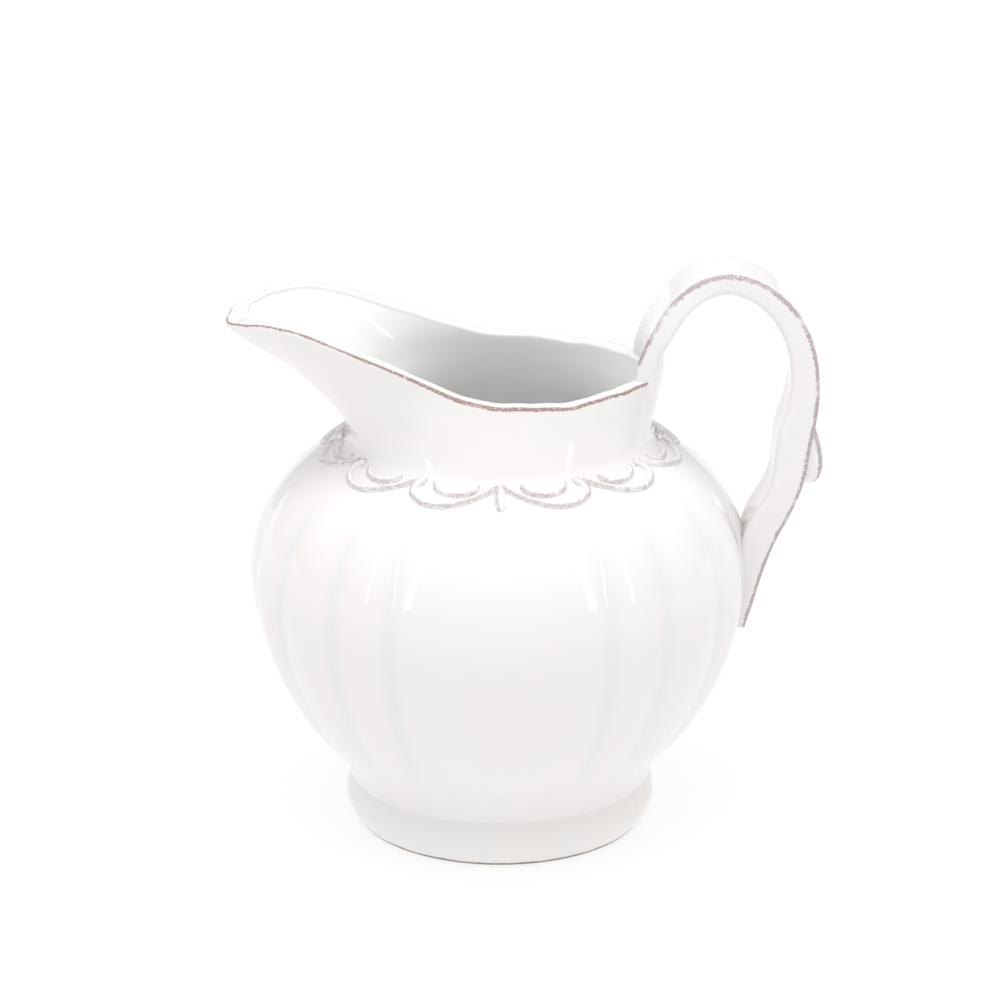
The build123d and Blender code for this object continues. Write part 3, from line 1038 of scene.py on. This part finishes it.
# ---- studio -------------------------------------------------------------------------------------------
@dataclass
class Studio:
    """White table and surround, two strip lights, an overhead box and the camera; lengths in metres."""

    surround: float = 0.73
    strip_azimuth: float = 54.0
    strip_distance: float = 1.7
    strip_width: float = 0.08
    strip_low: float = 0.2
    strip_high: float = 2.8
    strip_radiance: float = 3.6
    overhead_height: float = 1.5
    overhead_size: tuple[float, float] = (1.4, 0.83)
    overhead_forward: float = 0.28
    overhead_radiance: float = 3.3
    table_glow: float = 0.8  # the table is lit from below, as a white sweep is
    table_glow_far: float = 0.12
    table_reach: tuple[float, float] = (0.15, 0.9)
    target: tuple[float, float, float] = (0.0, 0.0, 0.05)
    camera_distance: float = 1.098
    camera_elevation: float = 20.88
    camera_lift: float = 1.62
    lens: float = 158.1

    def light(self, name: str, place: Vector, aim: Vector, size: tuple[float, float], radiance: float) -> None:
        """Hangs one rectangular light.

        Args:
            name: its name.
            place: where its middle is.
            aim: the point that it faces.
            size: its width and height.
            radiance: how bright its face is; 1 is the white of the picture.
        """
        lamp = bpy.data.lights.new(name, "AREA")
        lamp.shape = "RECTANGLE"
        lamp.size, lamp.size_y = size
        lamp.energy = radiance * size[0] * size[1] * pi
        lamp_object = bpy.data.objects.new(name, lamp)
        lamp_object.location = place
        lamp_object.rotation_euler = (aim - place).to_track_quat("-Z", "Y").to_euler()
        lamp_object.visible_camera = False
        bpy.context.scene.collection.objects.link(lamp_object)

    def table(self) -> None:
        """Lays the wide white table."""
        bpy.ops.object.select_all(action="DESELECT")
        bpy.ops.mesh.primitive_plane_add(size=60)
        floor = bpy.context.object
        floor.name = "table"
        bench = Bench("white_table")
        shade = bench.mixed(bench.noise(400, 2), (0.2, 0.2, 0.2), (0.21, 0.21, 0.21))
        bench.feed(bench.shader.inputs["Base Color"], shade)
        length = bench.nodes.new("ShaderNodeVectorMath")
        length.operation = "LENGTH"
        bench.feed(length.inputs[0], bench.place)
        reach = bench.eased(length.outputs["Value"], *self.table_reach)
        far = bench.math("MULTIPLY", reach, self.table_glow_far)
        bench.shader.inputs["Emission Color"].default_value = (1, 1, 1, 1)
        bench.feed(bench.shader.inputs["Emission Strength"], bench.math("ADD", far, self.table_glow))
        bench.shader.inputs["Roughness"].default_value = 0.9
        bench.shader.inputs["Specular IOR Level"].default_value = 0.1
        floor.data.materials.append(bench.material)

    def build(self) -> None:
        """Sets the table, the lights and the camera."""
        scene = bpy.context.scene
        scene.view_settings.view_transform = "Standard"
        world = bpy.data.worlds.new("white_surround")
        world.use_nodes = True
        world.node_tree.nodes["Background"].inputs["Color"].default_value = (1, 1, 1, 1)
        world.node_tree.nodes["Background"].inputs["Strength"].default_value = self.surround
        scene.world = world
        self.table()
        middle = (self.strip_low + self.strip_high) / 2
        size = (self.strip_width, self.strip_high - self.strip_low)
        for name, way in (("strip_light_left", -1), ("strip_light_right", 1)):
            turn = radians(way * self.strip_azimuth)
            place = Vector((self.strip_distance * sin(turn), -self.strip_distance * cos(turn), middle))
            self.light(name, place, Vector((0, 0, middle)), size, self.strip_radiance)
        above = Vector((0, -self.overhead_forward, self.overhead_height))
        self.light("overhead_box", above, above * Vector((1, 1, 0)), self.overhead_size, self.overhead_radiance)

        camera_data = bpy.data.cameras.new("camera")
        camera_data.lens = self.lens
        camera_data.sensor_width = 36.0
        camera_data.clip_start, camera_data.clip_end = 0.01, 100.0
        camera = bpy.data.objects.new("camera", camera_data)
        rise = radians(self.camera_elevation)
        back = Vector((0, -cos(rise), sin(rise)))
        camera.location = Vector(self.target) + back * self.camera_distance
        camera.rotation_euler = (radians(90 - self.camera_elevation + self.camera_lift), 0, 0)
        scene.collection.objects.link(camera)
        scene.camera = camera


def main() -> None:
    """Builds the pitcher piece by piece."""
    Studio().build()
    plain = Glaze("white_glaze").build()
    rim = Glaze(
        "white_glaze_worn_rim", worn_width=0.5, worn_wander=0.42, worn_cover=0.33, worn_grain=0.3
    ).build()
    strap = Glaze(
        "white_glaze_worn_strap",
        clay=(0.47, 0.39, 0.395),
        thin=(0.72, 0.68, 0.685),
        worn_width=0.75,
        worn_wander=0.6,
        worn_cover=0.41,
        worn_grain=0.31,
    ).build()
    relief = Glaze(
        "white_glaze_worn_relief",
        clay=(0.61, 0.535, 0.545),
        thin=(0.8, 0.765, 0.77),
        worn_width=0.42,
        worn_wander=0.5,
        worn_cover=0.42,
    ).build()
    belly = Belly(plain)
    belly.build()
    Foot(FootGlaze().build()).build()
    Collar(rim, belly).build()
    Handle(strap).build()
    Spur(strap).build()
    Garland(relief, belly).build()


if __name__ == "__main__":
    main()
